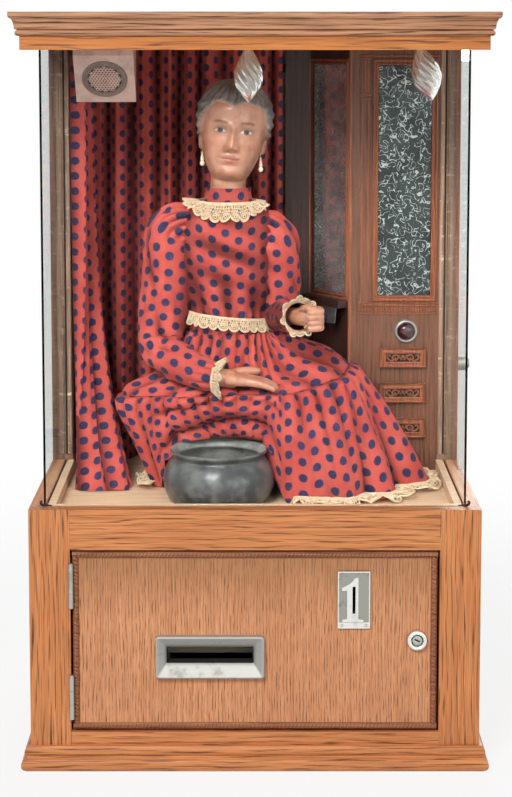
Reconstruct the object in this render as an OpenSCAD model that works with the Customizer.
// Coin-operated fortune teller: oak base with a coin door, glass case and a seated moving figure.
// X runs to the viewer's right, Y to the back and Z up. The origin is at the bottom centre.

/* [Base] */
// Width of the base over its side boards
base_w = 540; // [500:5:620]
// Height of the base up to the ledge that carries the glass
base_h = 320; // [300:5:380]
// Thickness of the oak face frame and side boards
board_t = 17; // [14:1:20]
// Width of the two face stiles
stile_w = 49; // [42:1:60]
// Height of the top rail above the door
top_rail_h = 49; // [36:1:60]
// Height of the bottom rail below the door
bottom_rail_h = 47; // [40:1:60]
// Height of the plinth moulding
plinth_h = 31; // [24:1:38]
// Projection of the plinth moulding
plinth_proj = 11; // [7:0.5:13]
// Thickness of the hidden base bottom, base back, stage floor and top board
inner_t = 12; // [10:1:15]
// Depth of the stage floor below the ledge
floor_recess = 14; // [10:1:20]

/* [Glass case] */
// Height of the glass between ledge and frieze
case_h = 545; // [480:5:620]
// Depth from the base front to the rear posts
case_d = 263; // [250:1:300]
// Depth of the back box behind the posts
back_box_d = 117; // [110:1:150]
// Thickness of the glass
glass_t = 4; // [3:0.5:5]
// Width of the glazing battens
batten_w = 9; // [7:0.5:12]
// Width of the rear posts
post_w = 28; // [24:1:34]
// Depth of the rear posts
post_d = 22; // [20:1:28]
// Height of the frieze boards
frieze_h = 32; // [30:1:40]
// Projection of the frieze beyond the base
frieze_proj = 3; // [2:0.5:5]
// Height of the crown moulding
crown_h = 28; // [24:1:34]
// Projection of the crown moulding beyond the frieze
crown_proj = 12; // [10:0.5:15]

/* [Doors] */
// Thickness of the front and rear door panels
door_t = 13; // [10:0.5:15]
// Depth of the door faces behind the frame
door_recess = 4; // [3.5:0.5:6]
// Gap between a door and its frame
door_gap = 2.5; // [2.2:0.1:3.5]
// Width of the bead edging round the front door
edging_w = 8; // [6:0.5:11]
// Height of the bead edging above the door face
edging_h = 3; // [2:0.25:3.5]
// Length of a hinge over its knuckles
hinge_h = 53; // [40:1:64]
// Radius of the hinge knuckles
knuckle_r = 3; // [2.5:0.1:3.5]
// Radius of the hinge pins
pin_r = 1.2; // [1:0.1:1.5]
// Distance from the ends of the front door to its hinge centres
hinge_inset = 43.5; // [38:0.5:60]
// Distance from the ends of the rear door to its hinge centres
rear_hinge_inset = 90; // [60:1:120]

/* [Door fittings] */
// Distance of the coin plate centre right of the cabinet centre
coin_x = 118.5; // [90:0.5:130]
// Distance of the coin plate centre below the top of the door
coin_drop = 59; // [54:0.5:70]
// Width of the coin plate
coin_plate_w = 39; // [34:0.5:46]
// Height of the coin plate
coin_plate_h = 70; // [62:1:78]
// Length of the coin slot, for a large old penny
coin_slot_h = 33; // [30:0.5:36]
// Width of the coin slot
coin_slot_w = 3.4; // [2.6:0.1:4]
// Distance of the card bezel centre right of the cabinet centre
card_x = -54; // [-70:1:-40]
// Height of the card bezel centre
card_z = 140; // [130:1:150]
// Width of the card bezel
bezel_w = 131; // [124:1:140]
// Height of the card bezel
bezel_h = 52; // [46:1:60]
// Width of the card opening
card_open_w = 104; // [100:1:110]
// Height of the card opening
card_open_h = 18.5; // [16:0.5:24]
// Distance of the lock left of the right stile
lock_inset = 26.5; // [22:0.5:34]
// Height of the lock centre
lock_z = 160; // [130:1:185]
// Radius of the lock flange
lock_r = 12.5; // [11:0.25:14]

/* [Set and props] */
// Width of the right wall panel
panel_w = 106; // [100:1:112]
// Thickness of the wall panels
panel_t = 12; // [10:1:14]
// Thickness of the obscured mirrors
mirror_t = 3; // [2:0.5:4]
// Sideways run of the angled wall panel
angle_run = 50; // [44:1:56]
// Radius of the cauldron belly
pot_r = 69; // [62:1:71]
// Radius of the cauldron rim
rim_r = 60.5; // [54:0.5:62]
// Height of the cauldron
pot_h = 67; // [60:1:70]
// Side of the square speaker plate
speaker_w = 75; // [68:1:80]
// Tilt of the speaker plate from upright
speaker_tilt = 38; // [30:1:42]
// Length of the flame bulbs below their holders
bulb_h = 74; // [64:1:80]
// Largest radius of the flame bulbs
bulb_r = 17; // [14:0.5:19]

/* [Figure] */
// Distance of the figure right of the cabinet centre
figure_x = -33; // [-38:1:-28]
// Distance of the figure's spindle behind the base front
figure_back = 190; // [186:1:194]
// Half-width of the waist
waist_rx = 49; // [46:0.5:50]
// Half-depth of the waist
waist_ry = 39; // [37:0.5:40]
// Radius of the neck
neck_r = 23.5; // [22:0.5:24]
// Sideways tilt of the head
head_tilt = 6; // [0:0.5:8]
// Thickness of the curtain and skirt cloth
cloth_t = 3.5; // [3:0.25:4]
// Largest lift of the left forearm
arm_lift = 18; // [10:1:20]
// Radius of the neck spindle and arm shaft
shaft_r = 4; // [3.5:0.25:4.5]
// Radius of the arm rod
rod_r = 3; // [2.5:0.25:3.5]

/* [Hidden] */

$fn = 48;
oak = "#b5743a";
pale_wood = "#d8b98c";
dark_wood = "#6b4a36";
steel = "#b9bcc0";
dark_iron = "#33353a";
dress_red = "#c23a2c";
skin = "#8a5a3c";

// Clearances: running fits, soft solids near their neighbours, and overrun of a cut
run_fit = 0.05;
loose = 0.3;
cut = 1;

// Cabinet planes
half_w = base_w / 2;
inner_x = half_w - board_t;
base_d = case_d + back_box_d;
hinge_proud = knuckle_r + loose;
hinge_back = hinge_proud + knuckle_r;
front_proj = frieze_proj + crown_proj;
y_f = front_proj - (base_d + front_proj + hinge_back) / 2;
y_b = y_f + base_d;
frame_y = y_f + board_t;
glass_y = frame_y + glass_t;
post_y = y_f + case_d;
floor_z = base_h - floor_recess;
frieze_z = base_h + case_h;
roof_z = frieze_z + frieze_h;
top_z = roof_z + inner_t;
glass_in_x = inner_x - glass_t;
glass_top = roof_z - 10;
post_in_x = half_w - post_w;

// Front door and rear door
open_x = half_w - stile_w;
open_z0 = bottom_rail_h;
open_z1 = base_h - top_rail_h;
door_x = open_x - door_gap;
door_z0 = open_z0 + door_gap;
door_z1 = open_z1 - door_gap;
door_y = y_f + door_recess;
door_in_y = door_y + door_t;
rear_rail_h = 26;
rear_open_z0 = floor_z + rear_rail_h;
rear_open_z1 = frieze_z - rear_rail_h;
rear_door_x = inner_x - door_gap;
rear_door_y = y_b - door_recess - door_t;
hinge_x = -open_x + door_gap / 2;
rear_hinge_x = -inner_x + door_gap / 2;
front_hinge_z = [open_z0 + hinge_inset, open_z1 - hinge_inset];
rear_hinge_z = [rear_open_z0 + rear_hinge_inset, rear_open_z1 - rear_hinge_inset];
leaf_t = door_gap / 2 - 0.35;
leaf_d = 12;
knuckle_h = hinge_h / 3;

// Door fittings
plate_t = 4;
coin_z = door_z1 - coin_drop;
lock_x = open_x - lock_inset;
barrel_r = 9.5;
plug_r = 6;
cam_t = 2.5;
cam_len = lock_inset + 12;
cam_y = max(door_in_y, frame_y) + 0.5;
bezel_proj = 9;
throat_wall = 2;

// Coin chute behind the slot and its rocker
chute_in_w = coin_slot_w + 1.6;
chute_out_w = chute_in_w + 4;
chute_d = 42;
chute_exit = 26;
chute_z0 = coin_z - 105;
rocker_pin_r = 2;
rocker_y = door_in_y + chute_d - 6;
rocker_z = chute_z0 + 30;

// Card magazine behind the bezel
card_w = 99;
card_l = 62;
pack_h = 60;
mag_wall = 3;
mag_y = y_f + 46;
slide_t = 2;
push = 40;
tail_w = 16;
tail_t = 4;
tail_h = 18;
tail_l = push + mag_wall + tail_t + 5;
slide_z = card_z - 7;
ledge_w = 4;

// Cash box below the chute
cash_w = 120;
cash_d = 110;
cash_h = 62;
cash_wall = 2;

// Power inlet in the base back, turn button and key switch
inlet_w = 30;
inlet_h = 26;
inlet_x = -inner_x + 70;
inlet_z = inner_t + 50;
button_x = inner_x + board_t / 2;
button_z = base_h + case_h / 2;
button_l = 44;
button_w = 12;
button_pin_r = 2;
key_y = post_y + post_d / 2;
key_z = base_h + 128;
key_barrel_r = 8;
key_head_r = 9.5;
key_proj = 12;

// Wall panels of the set, and the line of the angled one
panel_x1 = post_in_x;
panel_x0 = panel_x1 - panel_w;
corner_w = 12;
angle_x1 = panel_x0 - corner_w;
angle_x0 = angle_x1 - angle_run;
rear_space = 51;
angle_dy = back_box_d - rear_space;
angle_len = sqrt(angle_run * angle_run + angle_dy * angle_dy);
angle_turn = -atan2(angle_dy, angle_run);
angle_stile = 33;
mirror_z0 = base_h + 220;
mirror_z1 = frieze_z - 22;
mirror_rim = 8;
mirror_inset = 25;
mirror_x = panel_x0 + mirror_inset;
right_mirror_w = panel_w - 36;
angle_mirror_w = angle_len - 2 * mirror_rim;
drawer_w = 60;
drawer_h = 25;
drawer_proj = 6;
drawer_x = panel_x0 + 59;
drawer_zs = [base_h + 44, base_h + 91, base_h + 138];
lens_z = base_h + 173;
lens_x = panel_x0 + 63;

// Curtain line: along the left side, round a corner and across the back
drape_x0 = -glass_in_x + batten_w + 13;
drape_y0 = case_d - 55;
drape_bend = 30;
drape_y1 = y_f + base_d - rear_space;
drape_x1 = angle_x0 - angle_stile - 4;
drape_folds = 13;
drape_fold_h = 8;
drape_cols = 66;
drape_rows = 7;
drape_side = drape_y1 - y_f - drape_bend - drape_y0;
drape_arc = drape_bend * PI / 2;
drape_back = drape_x1 - drape_x0 - drape_bend;
drape_len = drape_side + drape_arc + drape_back;

// Hanging pieces
lamp_r = 14;
lamp_h = 24;
lamp_front = 60;
lamp_offsets = [25, 228];
lamp_leans = [0, -14];
speaker_inset = 65;
speaker_drop = 70;
speaker_front = 40;
grille_seat = 6;
speaker_x = -inner_x + speaker_inset;
speaker_y = y_f + drape_y0 - speaker_front;
speaker_z = roof_z - speaker_drop;
speaker_t = 8;
grille_r = 23;
rail_t = 10;

// Cauldron, on the stage floor
pot_x = figure_x - 12;
pot_y = glass_y + batten_w + loose + pot_r;
pot_wall = 4;

// Figure frame: the figure's own origin is on the stage floor below the neck spindle
fig_y = y_f + figure_back;
bench_h = 122;
bench_t = 16;
bench_w = 88;
bench_d = 72;
bench_x = 2;
leg_y0 = pot_y + pot_r - fig_y + 1.5;
upright_w = 44;
upright_d = 40;
head_h = 399;
neck_gap = 15;
waist_h = 199;
belt_h = 20;
collar_h = head_h - neck_gap;
upright_h = collar_h - 40;
collar_r = neck_r + 1;
elbow = [65, 0, waist_h + 21];
elbow_r = 22;
wrist = [83, -95, waist_h + 33];
lap_h = 151;
wrist_r = 16;
arm_bearing_x = upright_w / 2;
lever_r = 14;
lever_t = 5;
pin_l = 6;
lever_x = arm_bearing_x + 2;
rod_x = lever_x + lever_t / 2;
rod_head = 9;

// Torso rows: height, middle, half-width and half-depth; sleeves as balls with their radius
function chest_z(share) = waist_h + belt_h + (collar_h - waist_h - belt_h) * share;
torso_rows = [[bench_h, -2, waist_rx - 3, waist_ry - 3], [waist_h, 0, waist_rx, waist_ry],
    [chest_z(0), 0, waist_rx, waist_ry], [chest_z(0.21), -2, 56, 46], [chest_z(0.45), -4, 62, 52],
    [chest_z(0.67), -5, 70, 46], [chest_z(0.79), -4, 60, 38], [chest_z(0.87), -2, 40, 31],
    [chest_z(0.92), -1, collar_r + 6, collar_r + 6], [collar_h, 0, collar_r + 3, collar_r + 3]];
right_sleeve = [[-52, 0, chest_z(0.66), 30], [-72, 0, chest_z(0.62), 34], [-78, -4, chest_z(0.26), 31],
    [-85, -11, waist_h, 30], [-88, -17, lap_h + 12, 27], [-62, -48, lap_h + 6, 25],
    [-30, -67, lap_h + 2, 20], [-12, -70, lap_h, 17]];
left_sleeve = [[46, 0, chest_z(0.64), 28], [60, 0, chest_z(0.54), 30], [61, 0, chest_z(0.36), 29],
    [elbow[0], 0, elbow[2] + 26, 25], [elbow[0], 0, elbow[2] + 2, 24]];

// Head rows: height above the chin, half-width, depth to the front and depth to the back
head_rows = [[-12, 22, 21, 23], [-5, 24, 28, 28], [4, 23, 41, 34], [14, 30, 44, 40], [28, 35, 45, 46],
    [44, 39, 45, 52], [58, 42, 44, 55], [72, 44.5, 46, 57], [86, 44, 45, 56], [98, 40, 40, 50],
    [108, 32, 32, 40], [115, 21, 21, 27], [119, 9, 9, 11], [121, 1, 1, 1]];
head_sides = 32;
nose_z = 38;
nose_h = 9;
lobe_z = 30;
lobe_gap = 0.5;
bead_r = 3;
drop_h = 20;

// Crank and link of the head, and the motor that drives them
crank_r = 28;
crank_z = floor_z - 44;
crank_t = 6;
crank_pin_r = 3;
link_t = 6;
link_w = 10;
link_len = 120;
link_z = crank_z - crank_t - 1 - link_t;
head_turn = 20;
motor_crank_r = crank_r * sin(head_turn);
motor_x = figure_x + link_len;
motor_y = fig_y + crank_r + motor_crank_r;
motor_shaft_r = 5;
gearbox_w = 84;
gearbox_h = 34;
gearbox_z = link_z - 26 - gearbox_h;

// Skirt rows by angle from the viewer's right: radius and height of hip, lap edge and hem
skirt_cx = 23;
hem_lift = 69;
hip_row = [[0, 75, 184], [30, 72, 180], [60, 66, 164], [90, 62, 152], [120, 75, 142], [150, 86, 134],
    [180, 90, 130], [197, 82, 129], [210, 74, 128], [225, 64, 128], [240, 58, 130], [270, 54, 134],
    [300, 62, 138], [330, 74, 166], [360, 75, 184]];
lap_row = [[0, 130, 158], [30, 112, 156], [60, 92, 144], [90, 84, 136], [120, 98, 126], [150, 132, 116],
    [180, 178, 100], [210, 110, 110], [240, 74, 118], [270, 76, 122], [300, 102, 126], [330, 128, 144],
    [360, 130, 158]];
hem_row = [[0, 235, 0], [27, 145, 0], [53, 132, 0], [79, 108, 0], [111, 110, 0], [146, 143, 0],
    [176, 170, 0], [194, 146, 0], [203, 124, 46], [210, 100, hem_lift], [240, 54, hem_lift],
    [262, 54, hem_lift], [280, 58, hem_lift], [288, 71, hem_lift], [297, 114, 0], [318, 164, 0],
    [340, 194, 0], [360, 235, 0]];
skirt_sides = 60;
skirt_rings = 9;
skirt_folds = 12;
skirt_fold_h = 5;
hem_gap = 0.3;

// Shared functions for lofted and swept skins

function lerp(a, b, t) = a + (b - a) * t;
function ease(t) = (1 - cos(180 * t)) / 2;
function seg(table, key) = max([for (i = [0:len(table) - 2]) if (table[i][0] <= key) i]);
function row_at(table, key) =
    let (i = seg(table, key), a = table[i], b = table[i + 1])
    lerp(a, b, ease((key - a[0]) / (b[0] - a[0])));
function row_line(table, key) =
    let (i = seg(table, key), a = table[i], b = table[i + 1])
    lerp(a, b, (key - a[0]) / (b[0] - a[0]));
function spline(p, t) =
    let (n = len(p) - 1, i = min(floor(t * n), n - 1), f = t * n - i)
    let (a = p[max(i - 1, 0)], b = p[i], c = p[i + 1], d = p[min(i + 2, n)])
    b + f * (c - a) / 2 + f * f * (a - 2.5 * b + 2 * c - d / 2) + f * f * f * (1.5 * (b - c) + (d - a) / 2);
function flat(rings) = [for (r = rings) for (p = r) p];

// Triangles between successive rings of a grid, with the columns closed in a loop or left open
function skin_faces(rows, cols, loop, first = 0, flip = false) =
    [for (i = [0:rows - 2]) for (j = [0:(loop ? cols - 1 : cols - 2)])
        let (a = first + i * cols + j, b = first + i * cols + (j + 1) % cols)
        for (f = [[a, a + cols, b], [b, a + cols, b + cols]]) flip ? [f[2], f[1], f[0]] : f];

// Closed solid through a stack of rings, each with the same number of points and capped by a fan
module loft(rings) {
    n = len(rings[0]);
    m = len(rings);
    low = [for (k = [0:2]) [for (p = rings[0]) p[k]] * [for (p = rings[0]) 1] / n];
    high = [for (k = [0:2]) [for (p = rings[m - 1]) p[k]] * [for (p = rings[0]) 1] / n];
    points = concat(flat(rings), [low, high]);
    sides = skin_faces(m, n, true);
    floor_fan = [for (j = [0:n - 1]) [m * n, j, (j + 1) % n]];
    roof_fan = [for (j = [0:n - 1]) [m * n + 1, (m - 1) * n + (j + 1) % n, (m - 1) * n + j]];
    polyhedron(points, concat(sides, floor_fan, roof_fan));
}

function oval(c, rx, ry, z, n) =
    [for (j = [0:n - 1]) [c[0] + rx * cos(360 * j / n), c[1] + ry * sin(360 * j / n), z]];

// Chain of balls joined one to the next: a sleeve, a finger or a palm
module chain(balls, sides = 16) {
    for (i = [0:len(balls) - 2])
        hull() for (b = [balls[i], balls[i + 1]]) translate([b[0], b[1], b[2]]) sphere(b[3], $fn = sides);
}

// Sewn cloth stays one skin of flat triangles
module cloth_skin() {
    resize([0, 0, 0]) children();
}

module box(x0, x1, y0, y1, z0, z1) {
    translate([x0, y0, z0]) cube([x1 - x0, y1 - y0, z1 - z0]);
}

module both_sides() {
    children();
    mirror([1, 0, 0]) children();
}

module at_figure() {
    translate([figure_x, fig_y, floor_z]) children();
}

module rod_x_axis(x0, x1, y, z, r) {
    translate([x0, y, z]) rotate([0, 90, 0]) cylinder(r = r, h = x1 - x0);
}

module rod_y_axis(x, z, y0, y1, r) {
    translate([x, y0, z]) rotate([-90, 0, 0]) cylinder(r = r, h = y1 - y0);
}

// Moulding along the front and both sides, mitred at the front corners; profile points are [out, up]
module mitred_moulding(profile, x_face, y_face, reach) {
    front = [for (p = profile) [-p[0], p[1]]];
    intersection() {
        translate([-x_face - reach, y_face, 0]) rotate([90, 0, 90])
            linear_extrude(2 * (x_face + reach)) polygon(front);
        linear_extrude(top_z + cut) polygon([[-x_face, y_face], [x_face, y_face],
            [x_face + reach, y_face - reach], [-x_face - reach, y_face - reach]]);
    }
    both_sides() intersection() {
        translate([x_face, y_b, 0]) rotate([90, 0, 0]) linear_extrude(y_b - y_face + reach) polygon(profile);
        linear_extrude(top_z + cut) polygon([[x_face, y_face], [x_face + reach, y_face - reach],
            [x_face + reach, y_b], [x_face, y_b]]);
    }
}

// Base

module base_sides() {
    color(oak) both_sides() box(inner_x, half_w, frame_y, y_b, 0, base_h);
}

module base_back() {
    color(pale_wood) difference() {
        box(-inner_x, inner_x, y_b - inner_t, y_b, inner_t, floor_z - inner_t);
        box(-inlet_w / 2 + inlet_x, inlet_w / 2 + inlet_x, y_b - inner_t - cut, y_b + cut,
            inlet_z - inlet_h / 2, inlet_z + inlet_h / 2);
    }
}

module base_bottom() {
    color(pale_wood) box(-inner_x, inner_x, frame_y, y_b, 0, inner_t);
}

module stage_floor() {
    color(pale_wood) difference() {
        box(-inner_x, inner_x, frame_y, y_b, floor_z - inner_t, floor_z);
        at_figure() translate([0, 0, -inner_t - cut]) cylinder(r = shaft_r + run_fit, h = inner_t + 2 * cut);
        at_figure() translate([rod_x, lever_r, -inner_t - cut])
            cylinder(r = rod_r + run_fit, h = inner_t + 2 * cut);
    }
}

module face_stiles() {
    color(oak) both_sides() box(open_x, half_w, y_f, frame_y, 0, base_h);
}

module face_rails() {
    color(oak) {
        box(-open_x, open_x, y_f, frame_y, open_z1, base_h);
        box(-open_x, open_x, y_f, frame_y, 0, open_z0);
    }
}

module plinth_moulding() {
    bead = plinth_proj * 0.4;
    color(oak) mitred_moulding([[0, 0], [plinth_proj - bead / 2, 0],
        for (a = [-60:30:60]) [plinth_proj - bead + bead * cos(a), plinth_h * 0.32 + bead * 1.3 * sin(a)],
        [plinth_proj - bead, plinth_h * 0.6], [plinth_proj * 0.45, plinth_h * 0.78],
        [plinth_proj * 0.35, plinth_h], [0, plinth_h]], half_w, y_f, plinth_proj + cut);
}

// Front door

module door_panel() {
    color(oak) difference() {
        box(-door_x, door_x, door_y, door_in_y, door_z0, door_z1);
        box(card_x - card_open_w / 2 - throat_wall, card_x + card_open_w / 2 + throat_wall,
            door_y - cut, door_in_y + cut,
            card_z - card_open_h / 2 - throat_wall, card_z + card_open_h / 2 + throat_wall);
        box(coin_x - chute_in_w / 2, coin_x + chute_in_w / 2, door_y - cut, door_in_y + cut,
            coin_z - coin_slot_h / 2 - 2, coin_z + coin_slot_h / 2 + 2);
        rod_y_axis(lock_x, lock_z, door_y - cut, door_in_y + cut, barrel_r);
    }
}

module door_edging() {
    bar_l = 2 * door_x;
    bar_h = door_z1 - door_z0 - 2 * edging_w;
    color(dark_wood) {
        translate([-door_x, door_y, door_z0]) edging_profile_x(bar_l);
        translate([-door_x, door_y, door_z1 - edging_w]) edging_profile_x(bar_l);
        both_sides() translate([door_x - edging_w, door_y, door_z0 + edging_w]) edging_profile_z(bar_h);
    }
}

// Half-round bead in the plane of the door: a flat back and a crowned front
function bead_outline() = concat([[0, 0]],
    [for (i = [1:7]) [edging_w * i / 8, edging_h * sqrt(sin(180 * i / 8))]], [[edging_w, 0]]);

module edging_profile_x(len) {
    rotate([90, 0, 90]) linear_extrude(len) polygon([for (p = bead_outline()) [-p[1], p[0]]]);
}

module edging_profile_z(len) {
    linear_extrude(len) polygon([for (p = bead_outline()) [p[0], -p[1]]]);
}

// One side of a butt hinge about its own axis: side -1 is the frame's leaf, side 1 the door's
module hinge_half(side) {
    near = side * (door_gap / 2 - leaf_t);
    far = side * door_gap / 2;
    segments = side < 0 ? [-1, 1] : [0];
    difference() {
        union() {
            box(min(near, far), max(near, far), hinge_proud, hinge_proud + leaf_d, -hinge_h / 2, hinge_h / 2);
            for (s = segments) {
                low = s * knuckle_h - knuckle_h / 2 + (side > 0 ? loose : 0);
                high = s * knuckle_h + knuckle_h / 2 - (side > 0 ? loose : 0);
                translate([0, 0, low]) cylinder(r = knuckle_r, h = high - low);
                box(min(near, far), max(near, far), 0, hinge_proud, low, high);
            }
        }
        translate([0, 0, -hinge_h / 2 - cut]) cylinder(r = pin_r + run_fit, h = hinge_h + 2 * cut);
    }
}

module at_front_hinges() {
    for (z = front_hinge_z) translate([hinge_x, y_f - hinge_proud, z]) children();
}

module at_rear_hinges() {
    for (z = rear_hinge_z) translate([rear_hinge_x, y_b + hinge_proud, z]) mirror([0, 1, 0]) children();
}

module door_hinge_leaves() {
    color(steel) at_front_hinges() hinge_half(1);
}

module rear_hinge_leaves() {
    color(steel) at_rear_hinges() hinge_half(1);
}

module frame_hinge_leaves() {
    color(steel) {
        at_front_hinges() hinge_half(-1);
        at_rear_hinges() hinge_half(-1);
    }
}

module hinge_pin() {
    translate([0, 0, -hinge_h / 2]) cylinder(r = pin_r, h = hinge_h);
    translate([0, 0, hinge_h / 2]) cylinder(r = knuckle_r * 0.8, h = 1.5);
}

module hinge_pins() {
    color(steel) {
        at_front_hinges() hinge_pin();
        at_rear_hinges() hinge_pin();
    }
}

// Raised plate with a plain numeral one pierced by the slot
module coin_plate() {
    step = 1.5;
    bar = 10;
    color(steel) difference() {
        union() {
            box(coin_x - coin_plate_w / 2, coin_x + coin_plate_w / 2, door_y - plate_t + step, door_y,
                coin_z - coin_plate_h / 2, coin_z + coin_plate_h / 2);
            box(coin_x - bar / 2, coin_x + bar / 2, door_y - plate_t, door_y,
                coin_z - coin_plate_h * 0.4, coin_z + coin_plate_h * 0.42);
            box(coin_x - bar, coin_x + bar, door_y - plate_t, door_y,
                coin_z - coin_plate_h * 0.42, coin_z - coin_plate_h * 0.32);
        }
        box(coin_x - coin_slot_w / 2, coin_x + coin_slot_w / 2, door_y - plate_t - cut, door_y + cut,
            coin_z - coin_slot_h / 2, coin_z + coin_slot_h / 2);
    }
}

// Outline of the bezel, from above or from its side: wide at the door and narrower in front
module bevel(wide, narrow) {
    polygon([[-wide / 2, 0], [wide / 2, 0], [wide / 2, -2], [narrow / 2, -bezel_proj],
        [-narrow / 2, -bezel_proj], [-wide / 2, -2]]);
}

// Plated cup: a bevelled flange on the door and a throat that lines the opening
module card_bezel() {
    open0 = card_z - card_open_h / 2;
    open1 = card_z + card_open_h / 2;
    side0 = card_x - card_open_w / 2;
    side1 = card_x + card_open_w / 2;
    color(steel) difference() {
        union() {
            intersection() {
                translate([card_x, door_y, 0]) linear_extrude(base_h) bevel(bezel_w, bezel_w * 0.9);
                translate([card_x - bezel_w, door_y, card_z]) rotate([0, 90, 0])
                    linear_extrude(2 * bezel_w) bevel(bezel_h, bezel_h * 0.78);
            }
            box(side0 - throat_wall + run_fit, side1 + throat_wall - run_fit, door_y - cut, door_in_y + 2,
                open0 - throat_wall + run_fit, open1 + throat_wall - run_fit);
        }
        box(side0, side1, door_y - bezel_proj - cut, door_in_y + 2 + cut, open0, open1);
    }
}

module lock_housing() {
    color(steel) difference() {
        union() {
            rod_y_axis(lock_x, lock_z, door_y - 7, door_y, lock_r);
            rod_y_axis(lock_x, lock_z, door_y - cut, cam_y - loose, barrel_r - run_fit);
        }
        rod_y_axis(lock_x, lock_z, door_y - 7 - cut, cam_y + cut, plug_r + run_fit);
    }
}

module lock_plug() {
    color(steel) {
        difference() {
            rod_y_axis(lock_x, lock_z, door_y - 9, cam_y + cam_t, plug_r);
            box(lock_x - 0.8, lock_x + 0.8, door_y - 9 - cut, door_y - 4, lock_z - 4, lock_z + 4);
        }
        difference() {
            box(lock_x - plug_r, lock_x + plug_r, cam_y, cam_y + cam_t, lock_z - cam_len, lock_z);
            rod_y_axis(lock_x, lock_z, cam_y - cut, cam_y + cam_t + cut, plug_r - cut);
        }
    }
}

// Flat duct from the slot down to the cash box, with the pin of the rocker on its cheek
module coin_chute() {
    y0 = door_in_y;
    z0 = chute_z0;
    z1 = coin_z + coin_slot_h / 2 + 4;
    outer = [[0, z1], [8, z1], [chute_d, z1 - 62], [chute_d, z0], [chute_d - chute_exit, z0],
        [chute_d - chute_exit, z1 - 74], [0, z1 - 44]];
    inner = [[-cut, z1 - 2], [7, z1 - 2], [chute_d - 2, z1 - 63], [chute_d - 2, z0 - cut],
        [chute_d - chute_exit + 2, z0 - cut], [chute_d - chute_exit + 2, z1 - 73], [-cut, z1 - 42]];
    color(steel) {
        difference() {
            translate([coin_x - chute_out_w / 2, y0, 0]) rotate([90, 0, 90])
                linear_extrude(chute_out_w) polygon(outer);
            translate([coin_x - chute_in_w / 2, y0, 0]) rotate([90, 0, 90])
                linear_extrude(chute_in_w) polygon(inner);
        }
        rod_x_axis(coin_x + chute_out_w / 2, coin_x + chute_out_w / 2 + 7, rocker_y, rocker_z, rocker_pin_r);
    }
}

// Lever on the cheek with a finger under the mouth of the duct
module coin_rocker() {
    x0 = coin_x + chute_out_w / 2 + loose;
    drop = rocker_z - chute_z0 + 6;
    color("#a08a50") {
        difference() {
            union() {
                rod_x_axis(x0, x0 + 4, rocker_y, rocker_z, 6);
                box(x0, x0 + 4, rocker_y - 3, rocker_y + 3, rocker_z - drop, rocker_z);
            }
            rod_x_axis(x0 - cut, x0 + 4 + cut, rocker_y, rocker_z, rocker_pin_r + run_fit);
        }
        box(coin_x - chute_in_w / 2, x0 + 4, rocker_y - chute_exit * 0.6, rocker_y + 3,
            rocker_z - drop - 2, rocker_z - drop);
    }
}

// Open tin on the base bottom, under the mouth of the chute
module cash_box() {
    y0 = door_in_y + 12;
    color(dark_iron) difference() {
        box(coin_x - cash_w / 2, coin_x + cash_w / 2, y0, y0 + cash_d, inner_t, inner_t + cash_h);
        box(coin_x - cash_w / 2 + cash_wall, coin_x + cash_w / 2 - cash_wall, y0 + cash_wall,
            y0 + cash_d - cash_wall, inner_t + cash_wall, inner_t + cash_h + cut);
    }
}

// Hopper on two legs: floor, side cheeks with ledges for the cards, and a rear wall
module card_magazine() {
    half = card_w / 2 + 1;
    y1 = mag_y + card_l + 2;
    floor_top = slide_z - loose;
    color(steel) {
        box(card_x - half - mag_wall, card_x + half + mag_wall, mag_y, y1 + mag_wall,
            floor_top - mag_wall, floor_top);
        for (s = [-1, 1]) {
            inner_face = card_x + s * half;
            outer_face = card_x + s * (half + mag_wall);
            ledge_face = card_x + s * (half - ledge_w);
            box(min(inner_face, outer_face), max(inner_face, outer_face), mag_y, y1 + mag_wall,
                floor_top, floor_top + pack_h + 20);
            box(min(inner_face, ledge_face), max(inner_face, ledge_face), mag_y, y1 + mag_wall,
                floor_top, slide_z + slide_t + loose);
            box(min(inner_face, outer_face), max(inner_face, outer_face), mag_y, y1 + mag_wall,
                inner_t, floor_top - mag_wall);
        }
        box(card_x - half, card_x + half, y1, y1 + mag_wall, slide_z + slide_t + loose, floor_top + pack_h);
    }
}

module card_stack() {
    color("#efe6cf") box(card_x - card_w / 2, card_x + card_w / 2, mag_y, mag_y + card_l,
        slide_z + slide_t + loose, slide_z + slide_t + loose + pack_h);
}

// Slide under the stack with a tail that the drive pulls
module card_pusher() {
    half = card_w / 2 + 1 - ledge_w - loose;
    color("#a08a50") {
        box(card_x - half, card_x + half, mag_y, mag_y + card_l, slide_z, slide_z + slide_t);
        box(card_x - tail_w / 2, card_x + tail_w / 2, mag_y + card_l, mag_y + card_l + tail_l,
            slide_z, slide_z + slide_t);
        box(card_x - tail_w / 2, card_x + tail_w / 2, mag_y + card_l + tail_l - tail_t, mag_y + card_l + tail_l,
            slide_z, slide_z + tail_h);
    }
}

// Drive below the stage floor: hung on four pillars, its crank under the head link
module gear_motor() {
    corner = gearbox_w / 2 - 6;
    color(dark_iron) difference() {
        union() {
            translate([motor_x - gearbox_w / 2, motor_y - gearbox_w / 2, gearbox_z])
                cube([gearbox_w, gearbox_w, gearbox_h]);
            translate([motor_x, motor_y, gearbox_z - 62]) cylinder(r = 26, h = 62);
            for (dx = [-corner, corner]) for (dy = [-corner, corner])
                translate([motor_x + dx, motor_y + dy, gearbox_z + gearbox_h])
                    cylinder(r = 4, h = floor_z - inner_t - gearbox_z - gearbox_h);
        }
        translate([motor_x, motor_y, gearbox_z + 6])
            cylinder(r = motor_shaft_r + run_fit, h = gearbox_h);
    }
}

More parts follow.
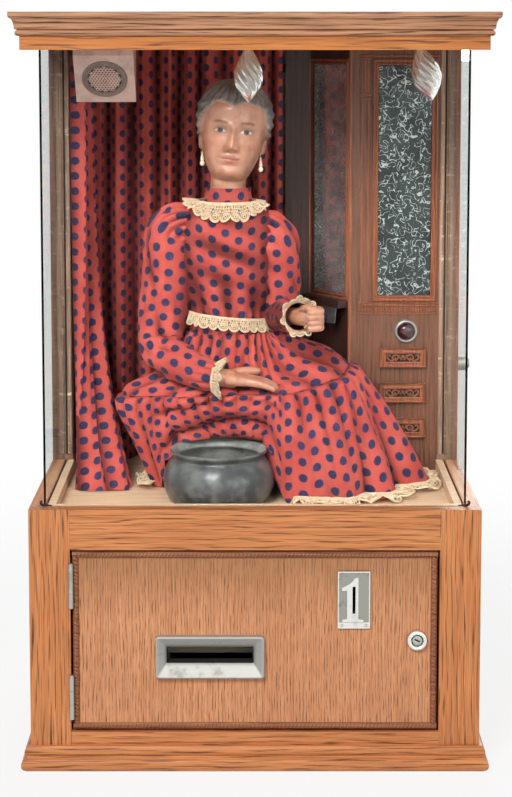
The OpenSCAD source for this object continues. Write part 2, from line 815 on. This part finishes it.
module motor_crank() {
    low = gearbox_z + 6 + loose;
    disc_z = gearbox_z + gearbox_h + 4;
    color(steel) {
        translate([motor_x, motor_y, low]) cylinder(r = motor_shaft_r, h = disc_z - low);
        translate([motor_x, motor_y, disc_z]) cylinder(r = motor_crank_r + 8, h = 6);
        translate([motor_x, motor_y - motor_crank_r, disc_z + 6])
            cylinder(r = crank_pin_r, h = link_z - 0.6 - disc_z - 6);
    }
}

module head_link() {
    x1 = figure_x + link_len;
    y = fig_y + crank_r;
    color(steel) difference() {
        union() {
            box(figure_x, x1, y - link_w / 2, y + link_w / 2, link_z, link_z + link_t);
            for (x = [figure_x, x1]) translate([x, y, link_z]) cylinder(r = link_w / 2 + 2, h = link_t);
        }
        for (x = [figure_x, x1]) translate([x, y, link_z - cut])
            cylinder(r = crank_pin_r + run_fit, h = link_t + 2 * cut);
    }
}

// Vertical rod from the drive to the lever on the arm shaft: a slotted head takes the lever's pin
module arm_rod() {
    top = elbow[2];
    color(steel) at_figure() difference() {
        union() {
            translate([rod_x, lever_r, -38]) cylinder(r = rod_r, h = top - rod_head + 38);
            translate([rod_x, lever_r, -44]) cylinder(r = rod_r + 3, h = 6);
            translate([rod_x + lever_t / 2 + loose, lever_r - 5, top - rod_head]) cube([2.5, 10, rod_head + 6]);
            translate([rod_x - rod_r, lever_r - rod_r, top - rod_head - 3]) cube([lever_t + 3, 2 * rod_r, 3]);
        }
        translate([rod_x, lever_r - 3.2, top - 2.2]) cube([12, 6.4, 4.4]);
    }
}

module power_inlet() {
    color("#202020") difference() {
        union() {
            box(inlet_x - inlet_w / 2, inlet_x + inlet_w / 2, y_b - inner_t - 14, y_b,
                inlet_z - inlet_h / 2, inlet_z + inlet_h / 2);
            box(inlet_x - inlet_w / 2 - 8, inlet_x + inlet_w / 2 + 8, y_b, y_b + 3,
                inlet_z - inlet_h / 2 - 3, inlet_z + inlet_h / 2 + 3);
        }
        box(inlet_x - inlet_w / 2 + 3, inlet_x + inlet_w / 2 - 3, y_b - 14, y_b + 3 + cut,
            inlet_z - inlet_h / 2 + 4, inlet_z + inlet_h / 2 - 4);
    }
}

// Glass case

module front_glass() {
    color("lightcyan", 0.3) box(-inner_x, inner_x, frame_y, glass_y, floor_z, glass_top);
}

module side_glasses() {
    color("lightcyan", 0.3) both_sides() box(glass_in_x, inner_x, glass_y, post_y, floor_z, glass_top);
}

module glazing_rails() {
    in_x = glass_in_x - batten_w;
    in_y = glass_y + batten_w;
    color(pale_wood) for (zs = [[floor_z, base_h], [frieze_z + 4, roof_z]]) {
        box(-glass_in_x, glass_in_x, glass_y, in_y, zs[0], zs[1]);
        both_sides() box(in_x, glass_in_x, in_y, post_y, zs[0], zs[1]);
    }
}

module back_box_frame() {
    color(oak) difference() {
        union() {
            both_sides() {
                box(inner_x, half_w, post_y, y_b, base_h, frieze_z);
                box(post_in_x, half_w, post_y, post_y + post_d, base_h, frieze_z);
            }
            box(-inner_x, inner_x, y_b - board_t, y_b, floor_z, rear_open_z0);
            box(-inner_x, inner_x, y_b - board_t, y_b, rear_open_z1, frieze_z);
        }
        rod_x_axis(post_in_x - cut, half_w + cut, key_y, key_z, key_barrel_r);
        rod_y_axis(button_x, button_z, y_b - 10, y_b + cut, button_pin_r + run_fit);
    }
}

module frieze_boards() {
    color(oak) {
        box(-half_w - frieze_proj, half_w + frieze_proj, y_f - frieze_proj, frame_y, frieze_z, roof_z);
        both_sides() box(inner_x, half_w + frieze_proj, frame_y, y_b, frieze_z, roof_z);
        box(-inner_x, inner_x, y_b - board_t, y_b, frieze_z, roof_z);
    }
}

// Cornice: a bead, a cove and a square fillet at the top
module crown_moulding() {
    z0 = top_z - crown_h;
    bead = 3.5;
    fillet = 5;
    cove = crown_h - fillet - 3 * bead;
    color(oak) mitred_moulding([[0, z0], [1.5, z0],
        for (a = [-75:30:75]) [1.5 + bead * cos(a), z0 + bead + bead * sin(a)],
        [2, z0 + 2 * bead], [crown_proj * 0.45, z0 + 2.4 * bead],
        for (a = [15:25:90]) [crown_proj * (0.45 + 0.45 * (1 - cos(a))), z0 + 2.4 * bead + cove * sin(a)],
        [crown_proj, top_z - fillet], [crown_proj, top_z], [0, top_z]],
        half_w + frieze_proj, y_f - frieze_proj, crown_proj + cut);
}

module top_board() {
    color(oak) box(-half_w - frieze_proj, half_w + frieze_proj, y_f - frieze_proj, y_b, roof_z, top_z);
}

module rear_door() {
    color(pale_wood) box(-rear_door_x, rear_door_x, rear_door_y, rear_door_y + door_t,
        rear_open_z0 + door_gap, rear_open_z1 - door_gap);
}

module rear_turn_button() {
    color("#a08a50") {
        rod_y_axis(button_x, button_z, y_b - 8, y_b + loose, button_pin_r);
        translate([button_x - button_w / 2, y_b + loose, button_z - button_l / 2])
            cube([button_w, 2.5, button_l]);
    }
}

module key_switch_body() {
    color(steel) difference() {
        union() {
            rod_x_axis(half_w, half_w + key_proj, key_y, key_z, key_head_r);
            rod_x_axis(post_in_x, half_w + cut, key_y, key_z, key_barrel_r - run_fit);
        }
        rod_x_axis(post_in_x + 4, half_w + key_proj + cut, key_y, key_z, plug_r + run_fit);
    }
}

module key_switch_plug() {
    color(steel) difference() {
        rod_x_axis(post_in_x + 4 + loose, half_w + key_proj + 2, key_y, key_z, plug_r);
        box(half_w + key_proj - 3, half_w + key_proj + 2 + cut, key_y - 0.8, key_y + 0.8, key_z - 4, key_z + 4);
    }
}

// Set behind the figure

module at_angle() {
    translate([angle_x0, post_y + angle_dy, 0]) rotate([0, 0, angle_turn]) children();
}

module right_panel() {
    color(dark_wood) {
        difference() {
            box(panel_x0, panel_x1, post_y, post_y + panel_t, floor_z, roof_z);
            box(mirror_x, mirror_x + right_mirror_w, post_y - cut, post_y + mirror_t, mirror_z0, mirror_z1);
        }
        for (z = drawer_zs) box(drawer_x - drawer_w / 2, drawer_x + drawer_w / 2, post_y - drawer_proj, post_y,
            z - drawer_h / 2, z + drawer_h / 2);
    }
}

module angled_panel() {
    y1 = post_y + angle_dy;
    ledge_z = mirror_z0 - 6;
    color(dark_wood) {
        difference() {
            translate([0, 0, floor_z]) linear_extrude(roof_z - floor_z) polygon([
                [angle_x1, post_y], [panel_x0, post_y], [panel_x0, post_y + panel_t],
                [angle_x0 + panel_t, y1 + panel_t], [angle_x0 - angle_stile, y1 + panel_t],
                [angle_x0 - angle_stile, y1], [angle_x0, y1]]);
            at_angle() box(mirror_rim, mirror_rim + angle_mirror_w, -cut, mirror_t, mirror_z0, mirror_z1);
            at_angle() box(mirror_rim, angle_len - mirror_rim, -cut, panel_t / 2, base_h + 20, ledge_z - 14);
        }
        at_angle() box(4, angle_len - 4, -16, 0, ledge_z - 10, ledge_z);
    }
}

module mirror_glasses() {
    gap = 0.2;
    color("slategray") {
        box(mirror_x + gap, mirror_x + right_mirror_w - gap, post_y, post_y + mirror_t,
            mirror_z0 + gap, mirror_z1 - gap);
        at_angle() box(mirror_rim + gap, mirror_rim + angle_mirror_w - gap, 0, mirror_t,
            mirror_z0 + gap, mirror_z1 - gap);
    }
}

module indicator_lens() {
    color("#40161c") translate([lens_x, post_y, lens_z]) rotate([90, 0, 0]) rotate_extrude()
        polygon([[0, 0], [15.5, 0], [15.5, 3], [13.5, 5], [11.5, 5],
            for (a = [0:15:75]) [11 * cos(a), 5 + 7 * sin(a)], [0, 12]]);
}

// Wedge that holds the square plate, tilted down towards the viewer, under the roof
module speaker_box() {
    drop = speaker_w * cos(speaker_tilt) / 2;
    lean = speaker_w * sin(speaker_tilt) / 2;
    deep = speaker_t * cos(speaker_tilt);
    color("#9a8a86") difference() {
        translate([speaker_x - speaker_w / 2, speaker_y, 0]) rotate([90, 0, 90]) linear_extrude(speaker_w)
            polygon([[-lean, speaker_z + drop], [lean, speaker_z - drop],
                [lean + deep, speaker_z - drop + speaker_t * sin(speaker_tilt)],
                [lean + deep, roof_z], [-lean + deep, roof_z]]);
        translate([speaker_x, speaker_y, speaker_z]) rotate([90 + speaker_tilt, 0, 0])
            translate([0, 0, -grille_seat]) cylinder(r = grille_r + run_fit, h = speaker_w);
    }
}

module speaker_grille() {
    color("#6a5d58") translate([speaker_x, speaker_y, speaker_z]) rotate([90 + speaker_tilt, 0, 0])
        translate([0, 0, -grille_seat]) difference() {
            cylinder(r = grille_r, h = grille_seat + 1.5);
            translate([0, 0, grille_seat]) cylinder(r = grille_r - 4, h = 4);
        }
}

module at_lamps() {
    for (k = [0, 1]) translate([figure_x + lamp_offsets[k], fig_y - lamp_front, roof_z])
        rotate([0, lamp_leans[k], 0]) children();
}

module lamp_holders() {
    color("#d8d2c4") intersection() {
        at_lamps() translate([0, 0, -lamp_h]) cylinder(r = lamp_r, h = lamp_h + 8);
        box(-half_w, half_w, y_f, y_b, 0, roof_z);
    }
}

module lamp_bulbs() {
    color("white", 0.6) at_lamps() translate([0, 0, -lamp_h - bulb_h]) rotate_extrude()
        polygon([[0, 0], for (i = [1:10]) [bulb_r * pow(sin(180 * pow(i / 11, 0.75)), 0.85), bulb_h * i / 11],
            [6, bulb_h], [0, bulb_h]]);
}

// Plan of the curtain line at a share of its length, with the direction along it
function drape_spot(s) =
    let (d = s * drape_len, a = (d - drape_side) / drape_bend * 180 / PI)
    d < drape_side ? [drape_x0, y_f + drape_y0 + d, 90] :
    d < drape_side + drape_arc ? [drape_x0 + drape_bend - drape_bend * cos(a),
        drape_y1 - drape_bend + drape_bend * sin(a), 90 - a] :
    [drape_x0 + drape_bend + d - drape_side - drape_arc, drape_y1, 0];

// Point of the hanging cloth: share along, height share from the top and side of the cloth
function drape_point(s, h, side) =
    let (p = drape_spot(s), wave = drape_fold_h * (0.75 + 0.35 * h) * cos(360 * drape_folds * s))
    let (off = wave + side * cloth_t / 2, tail = pow(h, 4) * pow(max(0, 1 - s / 0.28), 1.5))
    [p[0] - off * sin(p[2]) + 26 * tail, p[1] + off * cos(p[2]) - 62 * tail,
        lerp(roof_z - rail_t, floor_z + hem_gap, h)];

module curtains() {
    rings = [for (i = [0:drape_rows]) concat(
        [for (j = [0:drape_cols]) drape_point(j / drape_cols, i / drape_rows, 1)],
        [for (j = [drape_cols:-1:0]) drape_point(j / drape_cols, i / drape_rows, -1)])];
    n = 2 * (drape_cols + 1);
    rows = drape_rows + 1;
    top_strip = [for (j = [0:drape_cols - 1])
        for (f = [[j, j + 1, n - 1 - j], [j + 1, n - 2 - j, n - 1 - j]]) f];
    last = (rows - 1) * n;
    hem_strip = [for (f = top_strip) [last + f[2], last + f[1], last + f[0]]];
    color(dress_red) polyhedron(flat(rings), concat(skin_faces(rows, n, true), top_strip, hem_strip));
}

module curtain_rail() {
    wide = 2 * drape_fold_h + cloth_t;
    color(pale_wood) {
        box(drape_x0 - wide / 2, drape_x0 + wide / 2, y_f + drape_y0 - 4, drape_y1 + wide / 2,
            roof_z - rail_t, roof_z);
        box(drape_x0 + wide / 2, drape_x1 + 4, drape_y1 - wide / 2, drape_y1 + wide / 2,
            roof_z - rail_t, roof_z);
    }
}

// Round-bellied iron pot with a flared rim, hollow inside
module cauldron() {
    outer = [[0, 0], [pot_r * 0.8, 0],
        for (a = [-50:12.5:50]) [pot_r * (0.55 + 0.45 * cos(a)), pot_h * (0.42 + 0.4 * sin(a) / sin(50))],
        [rim_r - 5, pot_h * 0.87], [rim_r, pot_h - 4], [rim_r, pot_h]];
    inner = [[rim_r - pot_wall, pot_h], [rim_r - 5 - pot_wall, pot_h * 0.87],
        for (a = [50:-12.5:-50]) [pot_r * (0.55 + 0.45 * cos(a)) - pot_wall,
            pot_h * (0.42 + 0.4 * sin(a) / sin(50)) + pot_wall * 0.4],
        [0, pot_h * 0.02 + pot_wall * 1.4]];
    color(dark_iron) translate([pot_x, pot_y, floor_z]) rotate_extrude() polygon(concat(outer, inner));
}

// Figure

// Bench on two sides with the upright that carries the neck spindle and the arm shaft
module figure_frame() {
    color(pale_wood) at_figure() difference() {
        union() {
            box(bench_x - bench_w / 2, bench_x + bench_w / 2, -bench_d / 2, bench_d / 2,
                bench_h - bench_t, bench_h);
            for (x = [bench_x - bench_w / 2, bench_x + bench_w / 2 - bench_t])
                box(x, x + bench_t, leg_y0, bench_d / 2, 0, bench_h - bench_t);
            box(-upright_w / 2, upright_w / 2, -upright_d / 2, upright_d / 2, bench_h, upright_h);
        }
        translate([0, 0, bench_h - bench_t - cut])
            cylinder(r = shaft_r + run_fit, h = upright_h - bench_h + bench_t + 2 * cut);
        rod_x_axis(shaft_r + 5, arm_bearing_x + cut, 0, elbow[2], shaft_r + run_fit);
        translate([rod_x, lever_r, bench_h - bench_t - cut])
            cylinder(r = rod_r + run_fit, h = bench_t + 2 * cut);
    }
}

// Balls of the left forearm from elbow to wrist
function forearm_balls(grow) = [[elbow[0], elbow[1], elbow[2], elbow_r + grow],
    for (t = [0.5, 1]) concat(lerp(elbow, wrist, t), [lerp(elbow_r, wrist_r, t) + grow])];

module lifted(angle) {
    translate(elbow) rotate([-angle, 0, 0]) translate(-elbow) children();
}

module bodice() {
    color(dress_red) at_figure() cloth_skin() difference() {
        union() {
            loft([for (r = torso_rows) oval([r[1], 0], r[2], r[3], r[0], 24)]);
            chain(right_sleeve);
            chain(left_sleeve);
        }
        box(-upright_w / 2 - 3, lever_x + lever_t + pin_l + 2, -upright_d / 2 - 5, lever_r + 9,
            bench_h - cut, upright_h + 4);
        translate([0, 0, upright_h]) cylinder(r = collar_r, h = collar_h);
        rod_x_axis(0, elbow[0], 0, elbow[2], shaft_r + 1.5);
        hull() for (a = [0, arm_lift / 2, arm_lift]) lifted(a) chain(forearm_balls(0.8), 14);
    }
}

// Shaft from the upright to the elbow, with the lever and pin that the rod moves
module arm_shaft() {
    color(steel) at_figure() {
        rod_x_axis(shaft_r + 5 + loose, elbow[0], 0, elbow[2], shaft_r);
        difference() {
            box(lever_x, lever_x + lever_t, 0, lever_r + 4, elbow[2] - 4, elbow[2] + 4);
            rod_x_axis(lever_x - cut, lever_x + lever_t + cut, 0, elbow[2], shaft_r - cut);
        }
        rod_x_axis(lever_x + lever_t - cut, lever_x + lever_t + pin_l, lever_r, elbow[2], 2);
    }
}

module left_forearm_sleeve() {
    color(dress_red) at_figure() cloth_skin() chain(forearm_balls(0));
}

// Open hand, palm down on the lap, fingers towards the viewer's right
module right_hand() {
    color(skin) at_figure() translate([0, -72, lap_h]) cloth_skin() union() {
        chain([[-16, 3, 0, 11], [4, 0, -1, 12]], 12);
        for (spread = [-1.5:1.5])
            chain([[2, -5 * spread, -1, 9], [26, -4 - 8 * spread, -3, 7], [44, -6 - 8.5 * spread, -6, 5.5],
                [60 - 3 * abs(spread), -8 - 9 * spread, -10, 4.5]], 10);
        chain([[4, -10, -1, 7], [18, -22, -5, 5.5], [32, -25, -8, 4.5]], 10);
    }
}

// Loosely closed hand at the end of the left forearm
module left_hand() {
    color(skin) at_figure() translate(wrist) cloth_skin() union() {
        chain([[0, 0, 0, 12], [9, -11, 1, 14], [18, -21, 3, 14]], 12);
        for (z = [-10:8:14])
            chain([[17, -23, z, 7], [33, -29, z, 6.5], [35, -39, z - 1, 6], [21, -43, z - 2, 5.5]], 10);
        chain([[11, -19, 14, 6.5], [17, -35, 17, 6], [29, -41, 16, 5]], 10);
    }
}

// Distance from the skirt's middle line to the waist, grown by a gap, in one direction
function waist_reach(ang, gap) =
    let (a = pow(waist_rx + gap, 2), b = pow(waist_ry + gap, 2), c = cos(ang), s = sin(ang))
    let (k = c * c / a + s * s / b, m = skirt_cx * c / a)
    (sqrt(m * m - k * (skirt_cx * skirt_cx / a - 1)) - m) / k;

// Point of the skirt: share from waist to hem, angle, and inset of the inner face
function skirt_point(u, ang, inset) =
    let (hip = row_at(hip_row, ang), lap = row_at(lap_row, ang), hem = row_at(hem_row, ang))
    let (waist = [ang, waist_reach(ang, loose + cloth_t), waist_h])
    let (q = spline([waist, hip, lap, lerp(lap, hem, 0.5) + [0, lap[1] * 0.06, 0], hem], u))
    let (fold = skirt_fold_h * (1 - hem[2] / hem_lift) * pow(u, 1.3) * cos(skirt_folds * ang))
    let (r = u == 0 ? waist_reach(ang, loose + cloth_t * (1 - inset)) : q[1] + fold - inset * cloth_t)
    [skirt_cx + r * cos(ang), r * sin(ang), max(q[2] - inset * cloth_t * (1 - u), 0) + hem_gap];

module skirt() {
    us = [for (i = [0:skirt_rings - 1]) i / (skirt_rings - 1)];
    ring = function (u, inset) [for (j = [0:skirt_sides - 1]) skirt_point(u, 360 * j / skirt_sides, inset)];
    rings = concat([for (u = us) ring(u, 0)], [for (i = [skirt_rings - 1:-1:0]) ring(us[i], 1)]);
    rows = 2 * skirt_rings;
    last = (rows - 1) * skirt_sides;
    waist_strip = [for (j = [0:skirt_sides - 1]) let (k = (j + 1) % skirt_sides)
        for (f = [[last + j, j, last + k], [last + k, j, k]]) f];
    color(dress_red) at_figure()
        polyhedron(flat(rings), concat(skin_faces(rows, skirt_sides, true), waist_strip));
}

// Head outline at one height: rounded sides, a deeper back and a plain nose ridge
function head_ring(z) =
    let (r = row_line(head_rows, z))
    [for (j = [0:head_sides - 1]) let (a = 360 * j / head_sides, deep = sin(a) < 0 ? r[2] : r[3])
        let (front = max(0, -sin(a)), nose = nose_h * pow(front, 40) * exp(-pow((z - nose_z) / 11, 2)))
        [r[1] * cos(a), deep * sin(a) - nose, z]];

module at_head() {
    at_figure() translate([0, 0, head_h]) children();
}

module head() {
    neck_zs = [-43, -22, -12];
    face_zs = [-5, 0, 4, 9, 14, 21, 28, 34, 40, 46, 52, 58, 65, 72, 79, 86, 92, 98, 103, 108, 112, 115, 119];
    neck = [for (z = neck_zs) oval([0, 0], neck_r, neck_r, z, head_sides)];
    face = [for (z = face_zs) [for (p = head_ring(z))
        [p[0] * cos(head_tilt) + p[2] * sin(head_tilt), p[1], p[2] * cos(head_tilt) - p[0] * sin(head_tilt)]]];
    color(skin) at_head() loft(concat(neck, face));
}

// Spindle from the neck down through bench and stage, with the crank that the link pulls
module neck_spindle() {
    low = crank_z - floor_z;
    color(steel) at_figure() {
        translate([0, 0, low]) cylinder(r = shaft_r, h = head_h - 16 - low);
        difference() {
            union() {
                translate([0, 0, low - crank_t]) cylinder(r = 9, h = crank_t);
                translate([0, crank_r, low - crank_t]) cylinder(r = 7, h = crank_t);
                translate([-5, 0, low - crank_t]) cube([10, crank_r, crank_t]);
            }
            translate([0, 0, low - crank_t - cut]) cylinder(r = 1, h = crank_t);
        }
        translate([0, crank_r, low - crank_t - link_t - 2]) cylinder(r = crank_pin_r, h = link_t + 3);
    }
}

// Drop earrings that hang just clear of the lobes
module earrings() {
    x = row_line(head_rows, lobe_z)[1] + lobe_gap + 1.2;
    color("ivory") at_head() for (s = [-1, 1]) {
        tip = [s * x * cos(head_tilt) + lobe_z * sin(head_tilt), 0,
            lobe_z * cos(head_tilt) - s * x * sin(head_tilt)];
        translate(tip) {
            sphere(1.2, $fn = 24);
            translate([0, 0, -drop_h]) cylinder(r = 0.6, h = drop_h);
            translate([0, 0, -drop_h]) sphere(bead_r, $fn = 24);
        }
    }
}

base_sides();
base_back();
base_bottom();
stage_floor();
face_stiles();
face_rails();
plinth_moulding();
door_panel();
door_edging();
door_hinge_leaves();
rear_hinge_leaves();
frame_hinge_leaves();
hinge_pins();
coin_plate();
card_bezel();
lock_housing();
lock_plug();
coin_chute();
coin_rocker();
cash_box();
card_magazine();
card_stack();
card_pusher();
gear_motor();
motor_crank();
head_link();
arm_rod();
power_inlet();
front_glass();
side_glasses();
glazing_rails();
back_box_frame();
frieze_boards();
crown_moulding();
top_board();
rear_door();
rear_turn_button();
key_switch_body();
key_switch_plug();
right_panel();
angled_panel();
mirror_glasses();
indicator_lens();
speaker_box();
speaker_grille();
lamp_holders();
lamp_bulbs();
curtains();
curtain_rail();
cauldron();
figure_frame();
bodice();
arm_shaft();
left_forearm_sleeve();
right_hand();
left_hand();
skirt();
head();
neck_spindle();
earrings();
